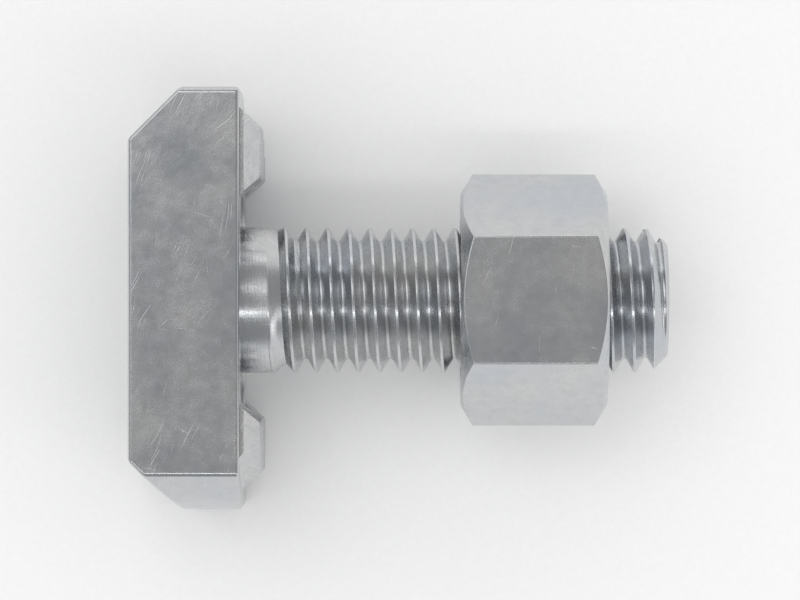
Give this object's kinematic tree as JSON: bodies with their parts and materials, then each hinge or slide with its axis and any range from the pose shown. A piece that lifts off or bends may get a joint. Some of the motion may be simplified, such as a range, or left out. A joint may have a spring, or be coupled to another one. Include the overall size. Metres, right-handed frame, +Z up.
{
  "type": "t slot bolt",
  "caption": "T-slot bolt with a bevelled, toothed head that turns to lock inside a lipped channel, a slotted threaded shank and a hex nut that clamps a fixture.",
  "frame": {"origin": "where the bolt's axis meets the flat underside of the head", "axes": "+X along the shank towards its slotted end, +Y along the head's long direction, +Z up and square to the head's long flat sides, of which the one facing -Z is what the bolt lies on"},
  "size_m": [0.044, 0.0344, 0.0196],
  "materials": {
    "bolt_steel": "bright zinc plate over a forged head and a rolled thread",
    "nut_steel": "bright zinc plate over turned and pressed faces"
  },
  "bodies": {
    "bolt": {"t_bolt": "bolt_steel"},
    "nut": {"hex_nut": "nut_steel"}
  },
  "joints": [
    {"name": "nut_travel", "type": "slide", "parent": "bolt", "child": "nut", "axis": [1, 0, 0], "range_m": [-0.01225, 0.01925]}
  ]
}
